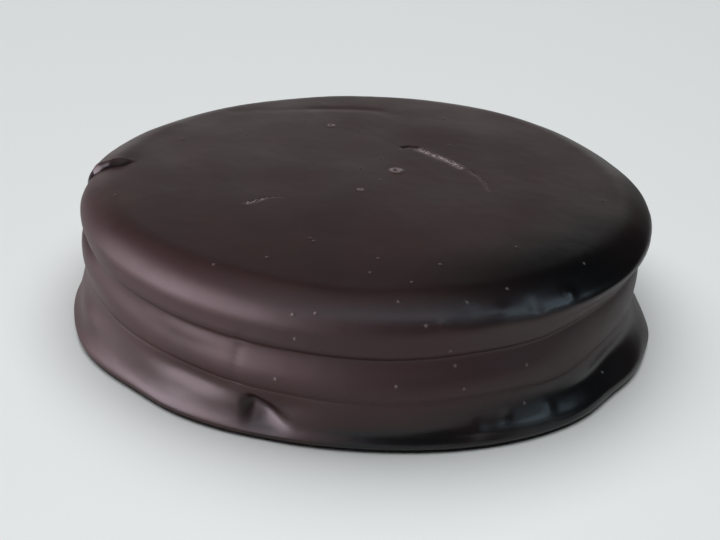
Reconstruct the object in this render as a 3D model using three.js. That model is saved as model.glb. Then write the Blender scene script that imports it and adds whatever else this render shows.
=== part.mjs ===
// A chocolate-coated alfajor: two round biscuits with a filling between them,
// dipped whole, so that one dark coat follows all three tiers and pools in a
// thin irregular foot. Millimetres, +Z up, origin on the underside at the centre.

import * as THREE from "three";
import { mergeVertices } from "three/addons/utils/BufferGeometryUtils.js";

// Driving dimensions
const footDiameter = 70;        // outer edge of the pooled coat, on average
const rimHeight = 16;           // where the flat of the top meets its rounded shoulder
const crownRise = 0.45;         // the middle of the top stands this much over the rim
const crownPower = 3;           // above 2 the crown is flat in the middle and falls towards the rim
const bottomTier = 5.8;         // thickness of the bottom biscuit, coat included
const middleTier = 4.95;        // thickness of the filling, coat included
const grooveRadius = 32.75;     // at the bottom of the two grooves between tiers
const middleBulge = 0.4;        // how far the filling tier swells past the grooves
const widestOfMiddle = 6.9;     // height at which the filling tier is widest
const middleLean = 9;           // from about this height it leans in
const topBulge = 0.75;          // how far the top biscuit swells past the grooves
const widestOfTop = 11.8;       // height at which the top biscuit is widest
const shoulderReach = 4.4;      // width of the rounded shoulder, seen from above
const tuck = 0.25;              // height over which a tier rounds under into the groove below it
const toeHeight = 0.8;          // height of the outermost edge of the foot
const toeRound = 1.6;           // how far the foot's edge curls under
const lipHeight = 1.6;          // top of the foot's rounded lip
const lipInset = 0.38;          // the top of the lip lies this far in from the toe
const lipShoulder = 1;          // height that the lip's curve aims at on the outermost radius
const flareRadius = 33.6;       // the foot sweeps up from its lip towards this radius
const flareHeight = 3.5;        // and this height, then follows the bottom biscuit
const grooveReach = 0.8;        // share of a tier that moves up or down with its groove

// Mesh density
const turnSteps = 120;
const topRings = 8;
const shoulderSteps = 8;
const curveSteps = 4;           // along a short curve of the section; a long one gets twice these
const seamGap = 0.0001;         // points closer than this are the same point

const footRadius = footDiameter / 2;
const lowerGroove = bottomTier;
const upperGroove = bottomTier + middleTier;
const widestRadius = grooveRadius + topBulge;
const rimRadius = widestRadius - shoulderReach;

// The tiers were stacked by hand, so each is a little off centre and a little oval.
const topBiscuit = { shiftX: 0.2, shiftY: 0.4, longAxis: 20, oval: 0.4 };
const filling = { shiftX: -0.33, shiftY: -0.27, longAxis: 120, oval: 0.18 };
const shiftFrom = 6.4;          // between these heights the filling's place gives way
const shiftTo = 11.6;           // to the top biscuit's

// Uneven places around the rim. Each lobe is centred on an angle, in degrees
// anticlockwise from +X, fades over its spread and reaches its size in millimetres.
const footLobes = [
  { at: 322, spread: 34, size: 0.65 },    // wide skirt on the right
  { at: 348, spread: 6, size: 0.3 },
  { at: 323, spread: 7, size: -0.5 },
  { at: 268, spread: 29, size: -1.2 },    // foot tucked in at the front
  { at: 228, spread: 7, size: -0.35 },
  { at: 211, spread: 8, size: 0.3 },
  { at: 166, spread: 22, size: -1.1 },
  { at: 178, spread: 9, size: -0.2 },
  { at: 118, spread: 18, size: -0.5 },
  { at: 72, spread: 15, size: 0.35 },
  { at: 34, spread: 18, size: -0.6 },
];
const upperGrooveLobes = [
  { at: 278, spread: 28, size: -1 },
  { at: 303, spread: 9, size: -0.4 },
  { at: 244, spread: 18, size: -0.3 },
  { at: 188, spread: 22, size: -0.1 },
  { at: 5, spread: 36, size: 0.4 },
  { at: 95, spread: 26, size: -0.25 },
];
const lowerGrooveLobes = [
  { at: 276, spread: 30, size: -0.6 },
  { at: 310, spread: 9, size: -0.85 },
  { at: 205, spread: 20, size: 0.5 },
  { at: 175, spread: 16, size: -0.3 },
  { at: 340, spread: 20, size: 0.3 },
  { at: 130, spread: 25, size: -0.2 },
];
const rimLobes = [
  { at: 140, spread: 38, size: -0.35 },
  { at: 50, spread: 36, size: 0.55 },
  { at: 95, spread: 50, size: 0.2 },
  { at: 266, spread: 18, size: -0.4 },
];

// Places where the side swells or sinks, centred on an angle and on a height.
const swells = [
  { at: 22, spread: 42, height: 13.7, heightSpread: 1.3, size: 1 },       // fuller shoulders
  { at: 110, spread: 50, height: 14, heightSpread: 1.4, size: 0.4 },
  { at: 150, spread: 24, height: 13.8, heightSpread: 1.4, size: 0.3 },
  { at: 50, spread: 28, height: 14.3, heightSpread: 1.4, size: 0.35 },
  { at: 320, spread: 20, height: 13.2, heightSpread: 1, size: 0.35 },
  { at: 350, spread: 44, height: 11.4, heightSpread: 1.1, size: -0.85 },  // top biscuit undercut
  { at: 193, spread: 15, height: 10.9, heightSpread: 0.8, size: -1.1 },   // nick under it on the left
  { at: 185, spread: 24, height: 9.3, heightSpread: 1.4, size: 0.3 },
  { at: 180, spread: 24, height: 6.2, heightSpread: 1.3, size: -0.15 },
  { at: 206, spread: 11, height: 8.3, heightSpread: 1.2, size: 0.12 },
  { at: 241, spread: 10, height: 4.9, heightSpread: 1.2, size: -0.5 },
  { at: 328, spread: 13, height: 3.5, heightSpread: 1.2, size: -0.85 },   // ledge of pooled coat
  { at: 328, spread: 14, height: 1.5, heightSpread: 0.7, size: 0.3 },
  { at: 300, spread: 13, height: 1.9, heightSpread: 0.5, size: 0.15 },
];

// The edge of the top falls away outwards at the front right.
const droop = [
  { at: 318, spread: 30, size: 1 },
  { at: 291, spread: 16, size: 0.35 },
];
const droopFrom = 22;           // it starts at this radius
const droopHeight = 13;         // the side below this height stays where it is

// A wrinkle where the coat folded over itself on the left of the top's rim.
const rimFold = {
  at: 181,
  innerRadius: 28.6,
  fade: 1.3,        // it starts over this distance on either side of innerRadius
  goneBelow: 11.75, // it runs out down the shoulder between these two heights
  fullAbove: 13.8,
  rise: 0.3,        // the far side stands this much over the coat around it
  riseSpread: 14,   // and settles over this angle
  drop: 0.45,       // the near side dips this much
  dropSpread: 7,
};

// A hollow pressed into the front of the foot.
const footScoop = { at: 255, spread: 4.5, size: -0.3 };

function smooth(low, high, value) {
  return THREE.MathUtils.smoothstep(value, low, high);
}

function turnBetween(angle, centre) {
  return THREE.MathUtils.euclideanModulo(angle - centre + 180, 360) - 180;
}

function lobe(angle, { at, spread, size }) {
  return size * bell(turnBetween(angle, at), spread);
}

function lobes(angle, list) {
  return list.reduce((sum, entry) => sum + lobe(angle, entry), 0);
}

function bell(distance, spread) {
  return Math.exp(-((distance / spread) ** 2));
}

function crown(radius) {
  return crownRise * (1 - (radius / rimRadius) ** crownPower);
}

// Half of the section, from the centre of the underside to the centre of the top.
function coatOutline() {
  const at = (radius, height) => new THREE.Vector2(radius, height);
  const points = [at(0, 0), at(footRadius - toeRound, 0)];
  const curveTo = (control, end, steps) => {
    const curve = new THREE.QuadraticBezierCurve(points.at(-1), control, end);
    points.push(...curve.getPoints(steps).slice(1));
  };

  // The foot: its toe, its lip and its flare.
  curveTo(at(footRadius, 0), at(footRadius, toeHeight), curveSteps);
  curveTo(at(footRadius, lipShoulder), at(footRadius - lipInset, lipHeight), curveSteps);
  curveTo(at(flareRadius, flareHeight), at(grooveRadius, lowerGroove), 2 * curveSteps);

  // The filling, which is widest low down and leans in above.
  const middle = at(grooveRadius + middleBulge, widestOfMiddle);
  curveTo(at(middle.x, lowerGroove + tuck), middle, curveSteps);
  curveTo(at(middle.x, middleLean), at(grooveRadius, upperGroove), 2 * curveSteps);

  // The top biscuit, up to its rounded shoulder.
  const widest = at(widestRadius, widestOfTop);
  curveTo(at(widest.x, upperGroove + tuck), widest, curveSteps);
  for (let i = 1; i <= shoulderSteps; i++) {
    const turn = (Math.PI / 2) * (i / shoulderSteps);
    const radius = widestRadius - shoulderReach * (1 - Math.cos(turn));
    const upward = Math.sin(turn);
    const height = widestOfTop + (rimHeight - widestOfTop) * upward;
    points.push(at(radius, height + crown(radius) * upward));
  }

  // Slightly crowned top.
  for (let i = 1; i <= topRings; i++) {
    const radius = rimRadius * (1 - i / topRings);
    points.push(at(radius, rimHeight + crown(radius)));
  }
  return points;
}

// How far a tier's own place and oval move its edge.
function tierOffset(tier, angle) {
  const stretch = tier.oval * Math.cos(2 * THREE.MathUtils.degToRad(angle - tier.longAxis));
  return { x: tier.shiftX, y: tier.shiftY, out: stretch };
}

// Moves one point of the round form to where the uneven coat has it.
function uneven(point) {
  const radius = Math.hypot(point.x, point.y);
  const angle = THREE.MathUtils.radToDeg(Math.atan2(point.y, point.x));
  const height = point.z;
  const towardsEdge = smooth(0, footRadius, radius);
  let out = 0;
  let up = 0;

  // The foot wanders in and out, and its flat stays on the table.
  const inFoot = 1 - smooth(toeHeight, lowerGroove, height);
  const offFloor = smooth(0, lipHeight, height) * towardsEdge;
  out += lobes(angle, footLobes) * inFoot * towardsEdge;
  out += lobe(angle, footScoop) * offFloor * (1 - smooth(flareHeight, lowerGroove, height));
  for (const swell of swells) {
    out += lobe(angle, swell) * bell(height - swell.height, swell.heightSpread) * offFloor;
  }

  // The grooves rise and fall a little, and so does the rim of the top.
  const nearLower = 1 - smooth(0, bottomTier * grooveReach, Math.abs(height - lowerGroove));
  const nearUpper = 1 - smooth(0, middleTier * grooveReach, Math.abs(height - upperGroove));
  up += lobes(angle, lowerGrooveLobes) * nearLower;
  up += lobes(angle, upperGrooveLobes) * nearUpper;
  up += lobes(angle, rimLobes) * smooth(upperGroove, rimHeight, height) * towardsEdge;

  // The top's edge droops where the coat ran off.
  const pastDroop = Math.max(radius - droopFrom, 0) / (widestRadius - droopFrom);
  up -= lobes(angle, droop) * pastDroop ** 2 * smooth(droopHeight, rimHeight, height);

  // The wrinkle: a step that faces the front and fades both ways and towards the middle.
  const pastFold = turnBetween(angle, rimFold.at);
  const foldRadius = rimFold.innerRadius;
  const foldStart = smooth(foldRadius - rimFold.fade, foldRadius + rimFold.fade, radius);
  const onRim = foldStart * smooth(rimFold.goneBelow, rimFold.fullAbove, height);
  if (pastFold < 0) {
    up += rimFold.rise * Math.exp(pastFold / rimFold.riseSpread) * onRim;
  } else {
    up -= rimFold.drop * Math.exp(-pastFold / rimFold.dropSpread) * onRim;
  }

  // The filling and the top biscuit each sit where they were put.
  const middle = tierOffset(filling, angle);
  const top = tierOffset(topBiscuit, angle);
  const inMiddle = smooth(lipHeight, lowerGroove, height);
  const inTop = smooth(shiftFrom, shiftTo, height);
  const blend = (low, high) => low * inMiddle * (1 - inTop) + high * inTop;
  out += blend(middle.out, top.out) * towardsEdge;

  const scale = radius > 0 ? (radius + out) / radius : 1;
  const x = point.x * scale + blend(middle.x, top.x);
  const y = point.y * scale + blend(middle.y, top.y);
  point.set(x, y, height + up);
}

function coatedBiscuitGeometry() {
  const lathe = new THREE.LatheGeometry(coatOutline(), turnSteps);
  lathe.rotateX(Math.PI / 2);
  lathe.deleteAttribute("normal");
  lathe.deleteAttribute("uv");
  const geometry = mergeVertices(lathe, seamGap);
  const position = geometry.attributes.position;
  const point = new THREE.Vector3();
  for (let i = 0; i < position.count; i++) {
    point.fromBufferAttribute(position, i);
    uneven(point);
    position.setXYZ(i, point.x, point.y, point.z);
  }
  geometry.computeVertexNormals();
  return geometry;
}

const darkChocolate = new THREE.MeshStandardMaterial({
  color: new THREE.Color(0.019, 0.0062, 0.006),
  roughness: 0.35,
  metalness: 0,
});

const coatedAlfajor = new THREE.Mesh(coatedBiscuitGeometry(), darkChocolate);
coatedAlfajor.name = "coated_alfajor";

const alfajor = new THREE.Group();
alfajor.add(coatedAlfajor);

export default alfajor;
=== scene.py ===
import math

import bmesh
import bpy
from mathutils import Matrix, Vector, noise
from mathutils.kdtree import KDTree


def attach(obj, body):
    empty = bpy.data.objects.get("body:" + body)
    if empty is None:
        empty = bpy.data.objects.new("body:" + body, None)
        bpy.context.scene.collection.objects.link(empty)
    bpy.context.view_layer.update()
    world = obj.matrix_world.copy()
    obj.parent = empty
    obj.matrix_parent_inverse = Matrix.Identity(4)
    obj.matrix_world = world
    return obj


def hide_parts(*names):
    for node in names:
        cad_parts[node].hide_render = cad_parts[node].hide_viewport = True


# A chocolate-coated alfajor on a pale floor. Lengths in the dictionaries are millimetres,
# angles are degrees anticlockwise from +X, and the finished meshes are in metres.
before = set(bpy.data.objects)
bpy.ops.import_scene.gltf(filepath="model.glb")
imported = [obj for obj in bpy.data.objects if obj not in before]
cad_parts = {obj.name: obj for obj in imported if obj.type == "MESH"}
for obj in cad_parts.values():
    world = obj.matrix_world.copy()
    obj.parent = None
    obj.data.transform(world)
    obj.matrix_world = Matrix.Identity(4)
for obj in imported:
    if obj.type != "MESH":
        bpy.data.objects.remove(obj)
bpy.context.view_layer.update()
metresPerMm = 0.001


def smooth(low, high, value):
    t = min(max((value - low) / (high - low), 0), 1)
    return t * t * (3 - 2 * t)


def bell(distance, spread):
    return math.exp(-(distance / spread) ** 2)


def turnBetween(angle, centre):
    return (angle - centre + 180) % 360 - 180


def lobes(angle, entries):
    return sum(size * bell(turnBetween(angle, at), spread) for at, spread, size in entries)


def curvePoints(start, control, end, steps):
    # quadratic curve, without its first point
    points = []
    for i in range(1, steps + 1):
        t = i / steps
        points.append(tuple((1 - t) ** 2 * a + 2 * t * (1 - t) * b + t * t * c
                            for a, b, c in zip(start, control, end)))
    return points


coat = {
    "footRadius": 35.0,         # outer edge of the pooled coat, on average
    "rimHeight": 16.0,          # where the flat of the top meets its shoulder
    "crownRise": 0.45,          # the middle of the top stands this much over the rim
    "crownPower": 3,            # above 2 the crown is flat in the middle and falls towards the rim
    "bottomTier": 5.8,
    "middleTier": 4.95,
    "grooveRadius": 32.75,
    "middleBulge": 0.4,         # how far the filling tier swells past the grooves
    "widestOfMiddle": 6.9,      # height at which the filling tier is widest
    "middleLean": 9.0,          # from about this height it leans in
    "topBulge": 0.75,
    "widestOfTop": 11.8,
    "shoulderReach": 4.4,
    "tuck": 0.25,               # a tier's curve aims this far over the groove below it
    "toeHeight": 0.8,
    "toeRound": 1.6,
    "lipHeight": 1.6,
    "lipInset": 0.38,
    "lipShoulder": 1.0,         # height that the lip's curve aims at on the outermost radius
    "flareRadius": 33.6,
    "flareHeight": 3.5,
    "grooveReach": 0.8,         # share of a tier's height over which a groove's lobes die away
    "topBiscuit": {"shift": (0.2, 0.4), "longAxis": 20, "oval": 0.4},
    "filling": {"shift": (-0.33, -0.27), "longAxis": 120, "oval": 0.18},
    "shiftFrom": 6.4,           # between these heights the filling's place gives way
    "shiftTo": 11.6,            # to the top biscuit's
    # uneven places: angle, spread in degrees, size; the foot's go outwards, the others upwards
    "footLobes": [(322, 34, 0.65), (348, 6, 0.3), (323, 7, -0.5), (268, 29, -1.2), (228, 7, -0.35),
                  (211, 8, 0.3), (166, 22, -1.1), (178, 9, -0.2), (118, 18, -0.5), (72, 15, 0.35),
                  (34, 18, -0.6)],
    "upperGrooveLobes": [(278, 28, -1.0), (303, 9, -0.4), (244, 18, -0.3),
                         (188, 22, -0.1), (5, 36, 0.4), (95, 26, -0.25)],
    "lowerGrooveLobes": [(276, 30, -0.6), (310, 9, -0.85), (205, 20, 0.5), (175, 16, -0.3),
                         (340, 20, 0.3), (130, 25, -0.2)],
    "rimLobes": [(140, 38, -0.35), (50, 36, 0.55), (95, 50, 0.2), (266, 18, -0.4)],
    # places where the side swells or sinks: angle, spread, height, spread in height, size
    "swells": [(22, 42, 13.7, 1.3, 1.0), (110, 50, 14.0, 1.4, 0.4), (150, 24, 13.8, 1.4, 0.3),
               (50, 28, 14.3, 1.4, 0.35), (320, 20, 13.2, 1.0, 0.35), (350, 44, 11.4, 1.1, -0.85),
               (193, 15, 10.9, 0.8, -1.1), (185, 24, 9.3, 1.4, 0.3), (206, 11, 8.3, 1.2, 0.12),
               (180, 24, 6.2, 1.3, -0.15), (241, 10, 4.9, 1.2, -0.5), (328, 13, 3.5, 1.2, -0.85),
               (328, 14, 1.5, 0.7, 0.3), (300, 13, 1.9, 0.5, 0.15)],
    "droop": [(318, 30, 1.0), (291, 16, 0.35)],     # the top falls away outwards here
    "droopFrom": 22.0,
    "droopHeight": 13.0,        # the side below this height stays where it is
    "footScoop": (255, 4.5, -0.3),      # a shallow dent in the front of the foot
    # a fold across the rim: the coat rises towards it on one side and drops past it
    "fold": {"at": 181, "innerRadius": 28.6, "fade": 1.3, "goneBelow": 11.75, "fullAbove": 13.8,
             "rise": 0.3, "riseSpread": 14, "drop": 0.45, "dropSpread": 7},
}

coatMesh = {
    "topCells": 120,            # cells along each side of the grid that becomes the top
    "undersideRings": (10, 20, 30),
    "toeSteps": 6,
    "lipSteps": 6,
    "flareSteps": 17,
    "tuckSteps": 13,
    "middleSteps": 15,
    "shoulderSteps": 15,
    "grooveSoftening": 24,      # smoothing passes that round the bottom of each groove
    "grooveSoftFactor": 0.5,
    "grooveSoftReach": 2.0,
    "mergeDistance": 0.01,
}

lowerGroove = coat["bottomTier"]
upperGroove = coat["bottomTier"] + coat["middleTier"]
widestRadius = coat["grooveRadius"] + coat["topBulge"]
rimRadius = widestRadius - coat["shoulderReach"]
turnSteps = 4 * coatMesh["topCells"]    # the side has as many cells round it as the edge of the top


def crown(radius):
    return coat["crownRise"] * (1 - (radius / rimRadius) ** coat["crownPower"])


def sectionPoints():
    # (radius, height) from the middle of the underside up to the rim of the top
    foot = coat["footRadius"]
    restEdge = (foot - coat["toeRound"], 0)
    toe = (foot, coat["toeHeight"])
    lipTop = (foot - coat["lipInset"], coat["lipHeight"])
    lowerRing = (coat["grooveRadius"], lowerGroove)
    upperRing = (coat["grooveRadius"], upperGroove)
    widest = (widestRadius, coat["widestOfTop"])

    points = [(0, 0)] + [(radius, 0) for radius in coatMesh["undersideRings"]] + [restEdge]
    points += curvePoints(restEdge, (foot, 0), toe, coatMesh["toeSteps"])
    points += curvePoints(toe, (foot, coat["lipShoulder"]), lipTop, coatMesh["lipSteps"])
    flareControl = (coat["flareRadius"], coat["flareHeight"])
    points += curvePoints(lipTop, flareControl, lowerRing, coatMesh["flareSteps"])
    middle = (coat["grooveRadius"] + coat["middleBulge"], coat["widestOfMiddle"])
    points += curvePoints(lowerRing, (middle[0], lowerGroove + coat["tuck"]), middle, coatMesh["tuckSteps"])
    points += curvePoints(middle, (middle[0], coat["middleLean"]), upperRing, coatMesh["middleSteps"])
    points += curvePoints(upperRing, (widest[0], upperGroove + coat["tuck"]), widest, coatMesh["tuckSteps"])
    for i in range(1, coatMesh["shoulderSteps"] + 1):
        turn = math.pi / 2 * i / coatMesh["shoulderSteps"]
        upward = math.sin(turn)
        radius = widestRadius - coat["shoulderReach"] * (1 - math.cos(turn))
        height = coat["widestOfTop"] + (coat["rimHeight"] - coat["widestOfTop"]) * upward
        points.append((radius, height + crown(radius) * upward))
    return points


def unevenPlace(point):
    # where the uneven coat has a point of the round form
    radius = math.hypot(point.x, point.y)
    angle = math.degrees(math.atan2(point.y, point.x))
    height = point.z
    towardsEdge = smooth(0, coat["footRadius"], radius)

    inFoot = 1 - smooth(coat["toeHeight"], lowerGroove, height)
    offFloor = smooth(0, coat["lipHeight"], height) * towardsEdge
    out = lobes(angle, coat["footLobes"]) * inFoot * towardsEdge
    belowGroove = 1 - smooth(coat["flareHeight"], lowerGroove, height)
    out += lobes(angle, [coat["footScoop"]]) * offFloor * belowGroove
    for at, spread, middle, heightSpread, size in coat["swells"] + relief["swells"]:
        out += size * bell(turnBetween(angle, at), spread) * bell(height - middle, heightSpread) * offFloor

    reach = coat["grooveReach"]
    nearLower = 1 - smooth(0, coat["bottomTier"] * reach, abs(height - lowerGroove))
    nearUpper = 1 - smooth(0, coat["middleTier"] * reach, abs(height - upperGroove))
    up = lobes(angle, coat["lowerGrooveLobes"]) * nearLower
    up += lobes(angle, coat["upperGrooveLobes"]) * nearUpper
    up += lobes(angle, coat["rimLobes"]) * smooth(upperGroove, coat["rimHeight"], height) * towardsEdge
    pastDroop = max(radius - coat["droopFrom"], 0) / (widestRadius - coat["droopFrom"])
    overTop = smooth(coat["droopHeight"], coat["rimHeight"], height)
    up -= lobes(angle, coat["droop"]) * pastDroop ** 2 * overTop

    fold = coat["fold"]
    pastFold = turnBetween(angle, fold["at"])
    onRim = smooth(fold["innerRadius"] - fold["fade"], fold["innerRadius"] + fold["fade"], radius)
    onRim *= smooth(fold["goneBelow"], fold["fullAbove"], height)
    if pastFold < 0:
        up += fold["rise"] * math.exp(pastFold / fold["riseSpread"]) * onRim
    else:
        up -= fold["drop"] * math.exp(-pastFold / fold["dropSpread"]) * onRim

    inMiddle = smooth(coat["lipHeight"], lowerGroove, height)
    inTop = smooth(coat["shiftFrom"], coat["shiftTo"], height)
    shares = ((coat["filling"], inMiddle * (1 - inTop)), (coat["topBiscuit"], inTop))
    shift = Vector((0, 0))
    for tier, share in shares:
        out += share * tier["oval"] * math.cos(2 * math.radians(angle - tier["longAxis"])) * towardsEdge
        shift += share * Vector(tier["shift"])
    scale = (radius + out) / radius if radius > 0 else 1
    return Vector((point.x * scale + shift.x, point.y * scale + shift.y, height + up))


def spinSide(bm):
    wire = [bm.verts.new((radius, 0, height)) for radius, height in sectionPoints()]
    edges = [bm.edges.new(pair) for pair in zip(wire, wire[1:])]
    for groove in (lowerGroove, upperGroove):
        near = [v for v in wire if abs(v.co.z - groove) < coatMesh["grooveSoftReach"]]
        for _ in range(coatMesh["grooveSoftening"]):
            bmesh.ops.smooth_vert(bm, verts=near, factor=coatMesh["grooveSoftFactor"], use_axis_x=True)
    bmesh.ops.spin(bm, geom=wire + edges, cent=(0, 0, 0), axis=(0, 0, 1), dvec=(0, 0, 0),
                   angle=2 * math.pi, steps=turnSteps, use_merge=True)


def roundTop(bm):
    # a square grid drawn out to a disc, so that the top has no pole in its middle
    cells = coatMesh["topCells"]
    grid = bmesh.ops.create_grid(bm, x_segments=cells, y_segments=cells, size=1)["verts"]
    for vert in grid:
        x, y = vert.co.x, vert.co.y
        radius, along = (x, y) if abs(x) > abs(y) else (y, x)
        turn = math.pi / 4 * (along / radius) if radius else 0
        if abs(x) > abs(y):
            place = (radius * math.cos(turn), radius * math.sin(turn))
        else:
            place = (radius * math.sin(turn), radius * math.cos(turn))
        share = math.hypot(*place)
        height = coat["rimHeight"] + crown(share * rimRadius)
        vert.co = (place[0] * rimRadius, place[1] * rimRadius, height)


relief = {
    # pimples from grains and bubbles under the coat: (x, y) on the top, (angle, height) on the side
    "pimpleSpread": 0.14,
    "pimpleHeight": 0.075,
    # the pimples' tops are mixed toward the pale scuff colour as a painted glint
    "pimpleGlint": 0.2,
    "topPimples": [(-1.3, 14.5), (-0.8, 0.7), (1.6, 4.4), (1.7, -2.8), (-15.7, 10.8), (-8.3, 17.4),
                   (10.3, 20.4), (10.5, 10.5), (-23.9, 11.8), (-23.3, 8.2), (-27.6, -10.2),
                   (-14.7, -25.9), (-9.6, -24.1), (-5.0, -19.5), (-5.6, -19.1), (1.7, -22.7),
                   (1.0, -25.7), (7.9, -23.5), (10.7, -29.1), (4.0, -30.6), (4.9, -26.8),
                   (16.0, -18.1), (15.0, -26.5), (23.4, -19.5), (27.6, -3.9)],
    "sidePimples": [(286.6, 10.6), (287.7, 9.4), (276.8, 7.7), (288.9, 6.9), (301.4, 8.1), (301.1, 3.7),
                    (323.0, 2.5), (281.8, 13.8), (259.4, 11.8), (256.7, 7.0), (258.8, 14.5), (263.0, 14.7)],
    # wider bumps: angle, height on the side, spread, rise
    "bumps": [(311.0, 14.9, 0.8, 0.2), (292.0, 1.8, 0.9, 0.12), (306.0, 2.0, 0.9, 0.12),
              (285.0, 13.9, 0.5, 0.1), (179.0, 15.1, 0.8, 0.2), (296.0, 14.6, 1.2, 0.12),
              (303.0, 14.2, 0.9, -0.12), (290.0, 14.9, 0.9, -0.08), (297.0, 2.6, 0.7, -0.1)],
    # burst bubbles: x, y, radius of the ring, depth of the pit
    "craters": [(3.7, 0.7, 0.55, 0.75), (-4.9, 16.1, 0.36, 0.55), (-0.6, -5.6, 0.26, 0.4)],
    # the spreads are shares of the ring's radius, and the rise is a share of the depth
    "craterShape": {"pitSpread": 0.35, "ringSpread": 0.5, "ringRise": 0.15, "ringPale": 0.35},
    # scratches: path, half width, depth, how ragged and how pale they are
    "scratches": [
        {"path": [(4.4, 8.7), (5.2, 9.1), (6.2, 8.9)],
         "width": 0.3, "depth": 0.15, "ragged": 0.02, "pale": 0.0},
        {"path": [(6.4, 8.2), (7.6, 7.1), (9.0, 5.8), (10.3, 4.5), (11.4, 3.0)],
         "width": 0.5, "depth": 0.03, "ragged": 0.1, "pale": 0.9},
        {"path": [(11.4, 3.0), (12.5, 1.8), (13.4, 0.3), (14.0, -1.5), (14.3, -3.5)],
         "width": 0.3, "depth": 0.02, "ragged": 0.05, "pale": 0.18},
        {"path": [(-12.9, -11.4), (-12.2, -10.9), (-11.4, -10.1)],
         "width": 0.3, "depth": 0.04, "ragged": 0.1, "pale": 0.6},
        {"path": [(-11.4, -10.1), (-10.4, -9.5), (-9.3, -9.2)],
         "width": 0.14, "depth": 0.02, "ragged": 0.03, "pale": 0.25},
    ],
    # crumbs in the scratches: two grains of noise, and how it turns into pale streaks
    "crumbs": {"coarse": 4, "fine": 10, "fineShare": 0.6,
               "leastPale": 0.15, "paleFrom": -0.35, "paleAt": 0.4},
    # wrinkles of the set coat: path, half width, rise
    "wrinkles": [([(-19.5, 20.6), (-16.0, 21.4), (-12.5, 22.0), (-9.0, 22.7), (-5.6, 23.1), (-2.6, 23.3),
                   (0.0, 23.2), (1.4, 22.7), (3.2, 21.4)], 1.1, -0.03),
                 ([(-8.0, 22.9), (-5.6, 23.1), (-2.6, 23.3), (0.0, 23.2), (1.4, 22.7)], 0.9, -0.06)],
    "topAbove": 14.5,           # scratches and wrinkles are only above this height
    # a hollow where something touched the wet foot: deepest under an edge that falls to the right,
    # and shallower that way by its taper
    "hollow": {"from": 250.0, "full": 252.8, "fadeFrom": 254.5, "to": 260.8, "bottom": 0.8,
               "edgeLeft": 3.8, "edgeRight": 2.0, "edgeRound": 1.0, "depth": 0.75, "taper": 0.5},
    # a faint seam that runs up the side from the hollow
    "seam": {"angle": 249.7, "from": 5.6, "to": 10.4, "spread": 0.6, "depth": 0.07},
    # the coat set glossier here, with its colour darkened to a neutral dark as painted shade: angle, spread,
    # share, then the heights between which it fades in
    "glossOfFoot": [(312, 34, 1.0, 6.0, 3.0), (236, 13, 0.35, 6.0, 3.0), (275, 12, 0.9, 3.0, 1.9),
                    (255, 5, 0.5, 4.8, 3.4)],
    # the fold's crease face and the right of the shoulder are also glossier, and darkened to a neutral dark
    # as painted shade
    "glossAndShadeOfFold": 0.9,         # degrees on either side of the fold
    "glossAndShadeOfShoulder": {"at": 318, "spread": 32, "from": 12.4, "to": 13.6, "innerRadius": 24.0, "fade": 4.0},
    # small swells and dips of the side: angle, spread, height, spread in height, size
    "swells": [(238.5, 4.5, 3.0, 0.8, -0.07), (240, 9, 9.9, 1.0, 0.18), (259, 6, 4.7, 1.3, -0.3),
               (207, 7, 3.6, 1.0, 0.35)],
    "undulation": 0.1,          # slow swelling of the whole side
    "undulationOnTop": 0.3,     # the share of it that the middle of the top has
    "undulationSize": 7.5,
    "ripple": 0.012,            # finer unevenness all over
    "rippleSize": 1.3,
    "stillBelow": 0.4,          # the part that lies on the floor has neither
}

reliefMesh = {
    "fineHalvings": 3,          # how often the mesh cells are halved round small relief
    "wideHalvings": 1,
    # how far round a spot they are halved; a margin is added to its own radius or spread, times radiiAround
    "radiiAround": 2,
    "pimpleReach": 0.85,
    "craterMargin": 0.6,
    "scratchMargin": 0.45,
    "wrinkleReach": 1.3,
    "seamReach": 1.2,
    "hollowReach": 1.1,
    # how close together the spots stand
    "scratchGap": 0.3,
    "wrinkleGap": 0.5,
    "seamSteps": 12,
    "hollowSteps": 6,
    "hollowHeights": (1.4, 2.6, 3.8),
    # how far out relief still counts: in millimetres, and in spreads or radii of the spot
    "pimpleEnd": 0.7,
    "bumpEnd": 2.5,
    "craterEnd": 3,
    "scratchEnd": 3,
    # a side spot this far above the widest of the top is looked for this much further in
    "shoulderAbove": 1,
    "shoulderInset": 1,
}


def evenly(low, high, steps):
    return [low + (high - low) * i / steps for i in range(steps + 1)]


def distanceTo(path, x, y):
    # how far a place is from a path of short straight stretches
    nearest = math.inf
    for (x1, y1), (x2, y2) in zip(path, path[1:]):
        length = math.hypot(x2 - x1, y2 - y1)
        along = ((x - x1) * (x2 - x1) + (y - y1) * (y2 - y1)) / length ** 2
        along = min(max(along, 0), 1)
        nearest = min(nearest, math.hypot(x - x1 - along * (x2 - x1), y - y1 - along * (y2 - y1)))
    return nearest


def spotsAlong(path, gap):
    spots = []
    for (x1, y1), (x2, y2) in zip(path, path[1:]):
        steps = max(1, round(math.hypot(x2 - x1, y2 - y1) / gap))
        spots += zip(evenly(x1, x2, steps), evenly(y1, y2, steps))
    return spots


def hollowDepth(place):
    hollow = relief["hollow"]
    angle = math.degrees(math.atan2(place.y, place.x)) % 360
    height = place.z
    across = smooth(hollow["from"], hollow["full"], angle)
    across *= 1 - smooth(hollow["fadeFrom"], hollow["to"], angle)
    share = min(max((angle - hollow["full"]) / (hollow["to"] - hollow["full"]), 0), 1)
    edge = hollow["edgeLeft"] + (hollow["edgeRight"] - hollow["edgeLeft"]) * share
    upright = smooth(hollow["bottom"], edge, height) * (1 - smooth(edge, edge + hollow["edgeRound"], height))
    return hollow["depth"] * across * upright * (1 - hollow["taper"] * share)


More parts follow.
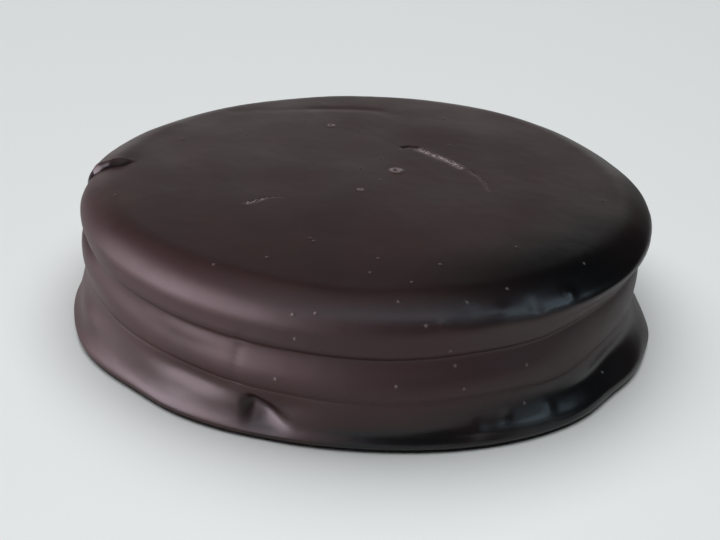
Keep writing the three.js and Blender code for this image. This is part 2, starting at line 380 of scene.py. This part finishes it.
def topRelief(place):
    # how far the scratches and wrinkles raise a place of the top, and how pale they make it
    rise = 0.0
    paleness = 0.0
    crumbs = relief["crumbs"]
    for scratch in relief["scratches"]:
        distance = distanceTo(scratch["path"], place.x, place.y)
        if distance < scratch["width"] * reliefMesh["scratchEnd"]:
            inside = bell(distance, scratch["width"])
            crumb = noise.noise(place * crumbs["coarse"])
            crumb += crumbs["fineShare"] * noise.noise(place * crumbs["fine"])
            rise += inside * (crumb * scratch["ragged"] - scratch["depth"])
            streak = smooth(crumbs["paleFrom"], crumbs["paleAt"], crumb)
            streak = crumbs["leastPale"] + (1 - crumbs["leastPale"]) * streak
            paleness = max(paleness, inside * streak * scratch["pale"])
    for path, width, height in relief["wrinkles"]:
        rise += height * bell(distanceTo(path, place.x, place.y), width)
    return rise, paleness


def slowRelief(place):
    # the slow swelling of the side and the fine ripple
    offFloor = smooth(relief["stillBelow"], coat["lipHeight"], place.z)
    onEdge = smooth(coat["droopFrom"], widestRadius, math.hypot(place.x, place.y))
    share = relief["undulationOnTop"] + (1 - relief["undulationOnTop"]) * onEdge
    slow = noise.noise(place / relief["undulationSize"]) * relief["undulation"] * share
    quick = noise.noise(place / relief["rippleSize"]) * relief["ripple"]
    return (slow + quick) * offFloor


def glossAndShadeAt(place):
    # where the coat is glossier, which is also where its colour is darkened as painted shade
    angle = math.degrees(math.atan2(place.y, place.x))
    inFoot = 0
    for at, spread, share, start, full in relief["glossOfFoot"]:
        inFoot += share * bell(turnBetween(angle, at), spread) * (1 - smooth(full, start, place.z))
    inFoot = min(inFoot, 1)
    rim = relief["glossAndShadeOfShoulder"]
    inRim = bell(turnBetween(angle, rim["at"]), rim["spread"]) * smooth(rim["from"], rim["to"], place.z)
    radius = math.hypot(place.x, place.y)
    inRim *= smooth(rim["innerRadius"] - rim["fade"], rim["innerRadius"] + rim["fade"], radius)
    fold = coat["fold"]
    inFold = bell(turnBetween(angle, fold["at"]), relief["glossAndShadeOfFold"])
    inFold *= smooth(fold["innerRadius"] - fold["fade"], fold["innerRadius"], radius)
    inFold *= smooth(upperGroove, coat["widestOfTop"], place.z)
    return max(inFoot, inRim, inFold)


def vertTree(bm):
    bm.verts.index_update()
    bm.verts.ensure_lookup_table()
    tree = KDTree(len(bm.verts))
    for vert in bm.verts:
        tree.insert(vert.co, vert.index)
    tree.balance()
    return tree


def onTop(tree, x, y):
    return tree.find((x, y, coat["rimHeight"]))[0]


def onSide(tree, angle, height):
    turn = math.radians(angle)
    radius = widestRadius
    if height >= coat["widestOfTop"] + reliefMesh["shoulderAbove"]:
        radius -= reliefMesh["shoulderInset"]
    return tree.find((radius * math.cos(turn), radius * math.sin(turn), height))[0]


def halveCells(bm, spots, times):
    # halves the mesh cells round each spot, (place, reach), again and again
    for _ in range(times):
        tree = vertTree(bm)
        near = set()
        for place, reach in spots:
            near.update(found[1] for found in tree.find_range(place, reach))
        edges = [edge for edge in bm.edges if all(vert.index in near for vert in edge.verts)]
        bmesh.ops.subdivide_edges(bm, edges=edges, cuts=1, use_grid_fill=True)


def reliefSpots(tree):
    # where the small relief stands on the coat
    seam = relief["seam"]
    seamHeights = evenly(seam["from"], seam["to"], reliefMesh["seamSteps"])
    pimples = [onTop(tree, x, y) for x, y in relief["topPimples"]]
    pimples += [onSide(tree, angle, height) for angle, height in relief["sidePimples"]]
    return {
        "pimples": pimples,
        "bumps": [(onSide(tree, angle, height), spread, rise)
                  for angle, height, spread, rise in relief["bumps"]],
        "craters": [(onTop(tree, x, y), ring, depth) for x, y, ring, depth in relief["craters"]],
        "seam": [onSide(tree, seam["angle"], height) for height in seamHeights],
    }


def refineCoat(bm, tree, spots):
    small = [(place, reliefMesh["pimpleReach"]) for place in spots["pimples"]]
    around = reliefMesh["radiiAround"]
    small += [(place, ring * around + reliefMesh["craterMargin"]) for place, ring, _ in spots["craters"]]
    for scratch in relief["scratches"]:
        reach = scratch["width"] * around + reliefMesh["scratchMargin"]
        places = spotsAlong(scratch["path"], reliefMesh["scratchGap"])
        small += [(onTop(tree, x, y), reach) for x, y in places]

    wide = [(place, spread * around) for place, spread, _ in spots["bumps"]]
    wide += [(place, reliefMesh["seamReach"]) for place in spots["seam"]]
    for path, _, _ in relief["wrinkles"]:
        places = spotsAlong(path, reliefMesh["wrinkleGap"])
        wide += [(onTop(tree, x, y), reliefMesh["wrinkleReach"]) for x, y in places]
    hollow = relief["hollow"]
    for angle in evenly(hollow["from"], hollow["to"], reliefMesh["hollowSteps"]):
        for height in reliefMesh["hollowHeights"]:
            wide.append((onSide(tree, angle, height), reliefMesh["hollowReach"]))

    halveCells(bm, wide, reliefMesh["wideHalvings"])
    halveCells(bm, small, reliefMesh["fineHalvings"])
    print("coat: refined where there is relief,", len(bm.verts), "vertices")


def makePaler(vert, layer, paleness):
    vert[layer] = max(vert[layer], paleness)


def spotRises(bm, spots, pale):
    # how far the pimples, bumps, burst bubbles and the seam raise each vertex
    tree = vertTree(bm)
    rises = [0.0] * len(bm.verts)
    for place in spots["pimples"]:
        for _, index, distance in tree.find_range(place, reliefMesh["pimpleEnd"]):
            inside = bell(distance, relief["pimpleSpread"])
            rises[index] += relief["pimpleHeight"] * inside
            # a painted glint on the pimple
            makePaler(bm.verts[index], pale, relief["pimpleGlint"] * inside)
    for place, spread, rise in spots["bumps"]:
        for _, index, distance in tree.find_range(place, spread * reliefMesh["bumpEnd"]):
            rises[index] += rise * bell(distance, spread)
    crater = relief["craterShape"]
    for place, ring, depth in spots["craters"]:
        for _, index, distance in tree.find_range(place, ring * reliefMesh["craterEnd"]):
            onRing = bell(distance - ring, crater["ringSpread"] * ring)
            inPit = bell(distance, crater["pitSpread"] * ring)
            rises[index] += crater["ringRise"] * depth * onRing - depth * inPit
            makePaler(bm.verts[index], pale, crater["ringPale"] * onRing)
    seam = relief["seam"]
    inSeam = {}
    for place in spots["seam"]:
        for _, index, distance in tree.find_range(place, reliefMesh["seamReach"]):
            inSeam[index] = max(inSeam.get(index, 0), bell(distance, seam["spread"]))
    for index, share in inSeam.items():
        rises[index] -= seam["depth"] * share
    return rises


def addRelief(bm):
    # the pale mask holds the scratches' real scuffs and the pimples' painted glint
    pale = bm.verts.layers.float.new("scuffAndGlint")
    # this mask makes the coat glossier and also darkens its colour as painted shade
    gloss = bm.verts.layers.float.new("glossAndShade")
    tree = vertTree(bm)
    spots = reliefSpots(tree)
    refineCoat(bm, tree, spots)

    bm.normal_update()
    rises = spotRises(bm, spots, pale)
    for vert in bm.verts:
        vert[gloss] = glossAndShadeAt(vert.co)
        if vert.co.z > relief["topAbove"]:
            rise, paleness = topRelief(vert.co)
            rises[vert.index] += rise
            makePaler(vert, pale, paleness)
        if vert.co.z < upperGroove:
            rises[vert.index] -= hollowDepth(vert.co)
        rises[vert.index] += slowRelief(vert.co)
    for vert, rise in zip(bm.verts, rises):
        vert.co += vert.normal * rise


def buildCoat():
    bm = bmesh.new()
    spinSide(bm)
    roundTop(bm)
    bmesh.ops.remove_doubles(bm, verts=bm.verts, dist=coatMesh["mergeDistance"])
    bmesh.ops.recalc_face_normals(bm, faces=bm.faces)
    print("coat: round form,", len(bm.verts), "vertices")
    for vert in bm.verts:
        vert.co = unevenPlace(vert.co)
    addRelief(bm)
    bmesh.ops.scale(bm, vec=(metresPerMm,) * 3, verts=bm.verts)
    bmesh.ops.triangulate(bm, faces=bm.faces)
    for face in bm.faces:
        face.smooth = True
    mesh = bpy.data.meshes.new("chocolateCoat")
    bm.to_mesh(mesh)
    bm.free()
    piece = bpy.data.objects.new("chocolateCoat", mesh)
    bpy.context.scene.collection.objects.link(piece)
    print("coat:", len(mesh.polygons), "triangles")
    return piece


chocolate = {
    "colour": (0.028, 0.007, 0.0068, 1),
    "darkColour": (0.02, 0.005, 0.0048, 1),
    # painted shade: a neutral dark mixed in where the coat is glossier, on the unlit right of the foot and
    # shoulder, the front lip and the fold's crease
    "paintedShadeColour": (0.003, 0.003, 0.0036, 1),
    # pale colour of the scuffed scratches; the pimples take a little of it as a painted glint
    "scuffAndGlintColour": (0.45, 0.39, 0.37, 1),
    "mottleScale": 170,         # cells per metre
    "mottleDetail": 4,
    "hazeScale": 95,
    "hazeDetail": 3,
    "grainScale": 2600,
    "grainDetail": 2,
    "grainInMottle": 0.5,       # how much the fine grain adds to the mottling
    "darkAt": 0.5,              # mottling at which the colour is darkest and palest
    "paleAt": 1.0,
    "smoothAt": 0.3,            # haze at which the coat is smoothest and roughest
    "roughAt": 0.7,
    "smoothest": 0.43,
    "roughest": 0.54,
    "glossRoughness": 0.26,
    "scuffRoughness": 0.65,
    "grainStrength": 0.25,
    "grainDepth": 0.00002,      # metres
    "ior": 1.6,
}


def addNoise(tree, coordinates, scale, detail):
    node = tree.nodes.new("ShaderNodeTexNoise")
    node.inputs["Scale"].default_value = scale
    node.inputs["Detail"].default_value = detail
    tree.links.new(coordinates, node.inputs["Vector"])
    return node.outputs["Fac"]


def addRange(tree, value, low, high, toLow, toHigh):
    node = tree.nodes.new("ShaderNodeMapRange")
    for name, number in (("From Min", low), ("From Max", high), ("To Min", toLow), ("To Max", toHigh)):
        node.inputs[name].default_value = number
    tree.links.new(value, node.inputs["Value"])
    return node.outputs["Result"]


# a mix node has a set of sockets for each kind of value: 2 and 3 are numbers, 6 and 7 are colours
def addMix(tree, factor, first, second):
    node = tree.nodes.new("ShaderNodeMix")
    tree.links.new(factor, node.inputs[0])
    tree.links.new(first, node.inputs[2])
    node.inputs[3].default_value = second
    return node.outputs[0]


def addColourMix(tree, factor, first, second):
    node = tree.nodes.new("ShaderNodeMix")
    node.data_type = "RGBA"
    tree.links.new(factor, node.inputs["Factor"])
    for socket, colour in ((node.inputs[6], first), (node.inputs[7], second)):
        if isinstance(colour, tuple):
            socket.default_value = colour
        else:
            tree.links.new(colour, socket)
    return node.outputs[2]


def chocolateMaterial():
    material = bpy.data.materials.new("darkChocolate")
    material.use_nodes = True
    tree = material.node_tree
    shader = tree.nodes["Principled BSDF"]
    coordinates = tree.nodes.new("ShaderNodeTexCoord").outputs["Object"]
    scuffAndGlint = tree.nodes.new("ShaderNodeAttribute")
    scuffAndGlint.attribute_name = "scuffAndGlint"
    glossAndShade = tree.nodes.new("ShaderNodeAttribute")
    glossAndShade.attribute_name = "glossAndShade"

    mottle = addNoise(tree, coordinates, chocolate["mottleScale"], chocolate["mottleDetail"])
    grain = addNoise(tree, coordinates, chocolate["grainScale"], chocolate["grainDetail"])
    haze = addNoise(tree, coordinates, chocolate["hazeScale"], chocolate["hazeDetail"])
    speckled = tree.nodes.new("ShaderNodeMath")
    speckled.operation = "MULTIPLY_ADD"
    tree.links.new(grain, speckled.inputs[0])
    speckled.inputs[1].default_value = chocolate["grainInMottle"]
    tree.links.new(mottle, speckled.inputs[2])
    shade = addRange(tree, speckled.outputs["Value"], chocolate["darkAt"], chocolate["paleAt"], 0, 1)
    colour = addColourMix(tree, shade, chocolate["darkColour"], chocolate["colour"])
    # darkened to the neutral dark where glossier, as painted shade
    colour = addColourMix(tree, glossAndShade.outputs["Fac"], colour, chocolate["paintedShadeColour"])
    # paler where scuffed, and on the pimples as a painted glint
    colour = addColourMix(tree, scuffAndGlint.outputs["Fac"], colour, chocolate["scuffAndGlintColour"])
    tree.links.new(colour, shader.inputs["Base Color"])

    hazy = addRange(tree, haze, chocolate["smoothAt"], chocolate["roughAt"],
                    chocolate["smoothest"], chocolate["roughest"])
    roughness = addMix(tree, glossAndShade.outputs["Fac"], hazy, chocolate["glossRoughness"])
    scuffRoughness = addRange(tree, scuffAndGlint.outputs["Fac"], 0, 1, 0, chocolate["scuffRoughness"])
    larger = tree.nodes.new("ShaderNodeMath")
    larger.operation = "MAXIMUM"
    tree.links.new(roughness, larger.inputs[0])
    tree.links.new(scuffRoughness, larger.inputs[1])
    tree.links.new(larger.outputs["Value"], shader.inputs["Roughness"])

    bump = tree.nodes.new("ShaderNodeBump")
    bump.inputs["Strength"].default_value = chocolate["grainStrength"]
    bump.inputs["Distance"].default_value = chocolate["grainDepth"]
    tree.links.new(grain, bump.inputs["Height"])
    tree.links.new(bump.outputs["Normal"], shader.inputs["Normal"])
    shader.inputs["IOR"].default_value = chocolate["ior"]
    return material


studio = {
    "floorSize": 6.0,           # metres, as are the softboxes' sizes and their distance
    "floorColour": (0.7, 0.71, 0.72, 1),
    "floorRoughness": 0.45,
    "ambient": (0.02, 0.02, 0.02, 1),
    "ambientStrength": 1.0,
    "contrast": 0.88,           # gamma of the view
    "boxDistance": 1.5,
    "lightColours": {"window": (1.0, 0.86, 0.94), "back": (1.0, 1.0, 0.98), "top": (1.0, 1.0, 0.97),
                     "cool": (0.72, 0.9, 1.0), "coolest": (0.68, 0.87, 1.0), "floor": (0.98, 1.0, 0.99)},
    # compass: degrees clockwise from +Y, seen from above; elevation: degrees above level
    "softboxes": {
        "windowBox": {"compass": -106, "elevation": 17, "width": 1.8, "height": 1.15,
                      "radiance": 4.91, "colour": "window"},
        "windowSideBox": {"compass": -140, "elevation": 26, "width": 0.9, "height": 1.4,
                          "radiance": 1.81, "colour": "window"},
        "windowLowBox": {"compass": -118, "elevation": 6, "width": 1.8, "height": 0.35,
                         "radiance": 3.32, "colour": "window"},
        "windowFrontBox": {"compass": -164, "elevation": 11, "width": 0.9, "height": 0.6,
                           "radiance": 0.76, "colour": "window"},
        "backBox": {"compass": -8, "elevation": 17, "width": 2.4, "height": 0.95,
                    "radiance": 0.34, "colour": "back"},
        "lowBackBox": {"compass": -4, "elevation": 7, "width": 1.6, "height": 0.35,
                       "radiance": 1.05, "colour": "back"},
        "rightBox": {"compass": 92, "elevation": 44, "width": 0.65, "height": 0.45,
                     "radiance": 1.7, "colour": "coolest"},
        "rightStreakBox": {"compass": 109, "elevation": 33, "width": 0.8, "height": 0.1,
                           "radiance": 4.2, "colour": "coolest"},
        "rightLowBox": {"compass": 117, "elevation": 17, "width": 0.7, "height": 0.5,
                        "radiance": 0.72, "colour": "cool"},
        "rightHighBox": {"compass": 125, "elevation": 64, "width": 0.7, "height": 0.6,
                         "radiance": 1.05, "colour": "cool"},
        "frontRightBox": {"compass": 155, "elevation": 42, "width": 0.7, "height": 0.7,
                          "radiance": 0.42, "colour": "cool"},
        "frontHighBox": {"compass": 165, "elevation": 64, "width": 0.9, "height": 0.6,
                         "radiance": 1.2, "colour": "cool"},
        "frontBox": {"compass": -155, "elevation": 58, "width": 1.1, "height": 1.0,
                     "radiance": 0.7, "colour": "cool"},
        "topBox": {"compass": -50, "elevation": 78, "width": 1.1, "height": 1.1,
                   "radiance": 0.7, "colour": "top"},
    },
    # these light only the floor, and the boxes above light only the cookie
    "floorBoxes": {
        "overheadBox": {"compass": -30, "elevation": 80, "width": 2.2, "height": 2.2,
                        "radiance": 2.8, "colour": "floor"},
    },
}


def floorMaterial():
    material = bpy.data.materials.new("paleFloor")
    material.use_nodes = True
    shader = material.node_tree.nodes["Principled BSDF"]
    shader.inputs["Base Color"].default_value = studio["floorColour"]
    shader.inputs["Roughness"].default_value = studio["floorRoughness"]
    return material


def addSoftbox(name, box):
    light = bpy.data.lights.new(name, "AREA")
    light.shape = "RECTANGLE"
    light.size = box["width"]
    light.size_y = box["height"]
    light.color = studio["lightColours"][box["colour"]]
    light.energy = box["radiance"] * math.pi * box["width"] * box["height"]
    lamp = bpy.data.objects.new(name, light)
    compass = math.radians(box["compass"])
    rise = math.radians(box["elevation"])
    level = math.cos(rise)
    towards = Vector((math.sin(compass) * level, math.cos(compass) * level, math.sin(rise)))
    lamp.location = towards * studio["boxDistance"]
    lamp.rotation_euler = towards.to_track_quat("Z", "Y").to_euler()
    bpy.context.scene.collection.objects.link(lamp)
    return lamp


def addStudio(piece):
    bpy.ops.mesh.primitive_plane_add(size=studio["floorSize"])
    floor = bpy.context.object
    floor.name = "floor"
    floor.data.materials.append(floorMaterial())
    world = bpy.data.worlds.new("studioWorld")
    world.use_nodes = True
    background = world.node_tree.nodes["Background"]
    background.inputs["Color"].default_value = studio["ambient"]
    background.inputs["Strength"].default_value = studio["ambientStrength"]
    bpy.context.scene.world = world
    floorOnly = bpy.data.collections.new("floorOnly")
    floorOnly.objects.link(floor)
    cookieOnly = bpy.data.collections.new("cookieOnly")
    cookieOnly.objects.link(piece)
    for boxes, receivers in ((studio["softboxes"], cookieOnly), (studio["floorBoxes"], floorOnly)):
        for name, box in boxes.items():
            addSoftbox(name, box).light_linking.receiver_collection = receivers
    settings = bpy.context.scene.view_settings
    settings.view_transform = "Standard"
    settings.gamma = studio["contrast"]
    print("studio: floor and", len(studio["softboxes"]) + len(studio["floorBoxes"]), "softboxes")


view = {
    "lens": 55.0,               # millimetres, as is the sensor's width
    "sensorWidth": 36.0,
    "nearest": 0.01,            # metres, as is the camera's place
    "place": (0.0, -0.12277, 0.06466),
    "down": 26.58,              # degrees below level
    "turn": 0.033,
    "roll": 3.43,
}


def addCamera():
    data = bpy.data.cameras.new("camera")
    data.lens = view["lens"]
    data.sensor_width = view["sensorWidth"]
    data.clip_start = view["nearest"]
    camera = bpy.data.objects.new("camera", data)
    turn = Matrix.Rotation(math.radians(view["turn"]), 4, "Z")
    tilt = Matrix.Rotation(math.radians(90 - view["down"]), 4, "X")
    roll = Matrix.Rotation(math.radians(view["roll"]), 4, "Z")
    camera.matrix_world = Matrix.Translation(view["place"]) @ turn @ tilt @ roll
    bpy.context.scene.collection.objects.link(camera)
    bpy.context.scene.camera = camera
    print("camera: in place")


piece = buildCoat()
piece.data.materials.append(chocolateMaterial())
addStudio(piece)
addCamera()
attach(piece, "root")
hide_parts("coated_alfajor")
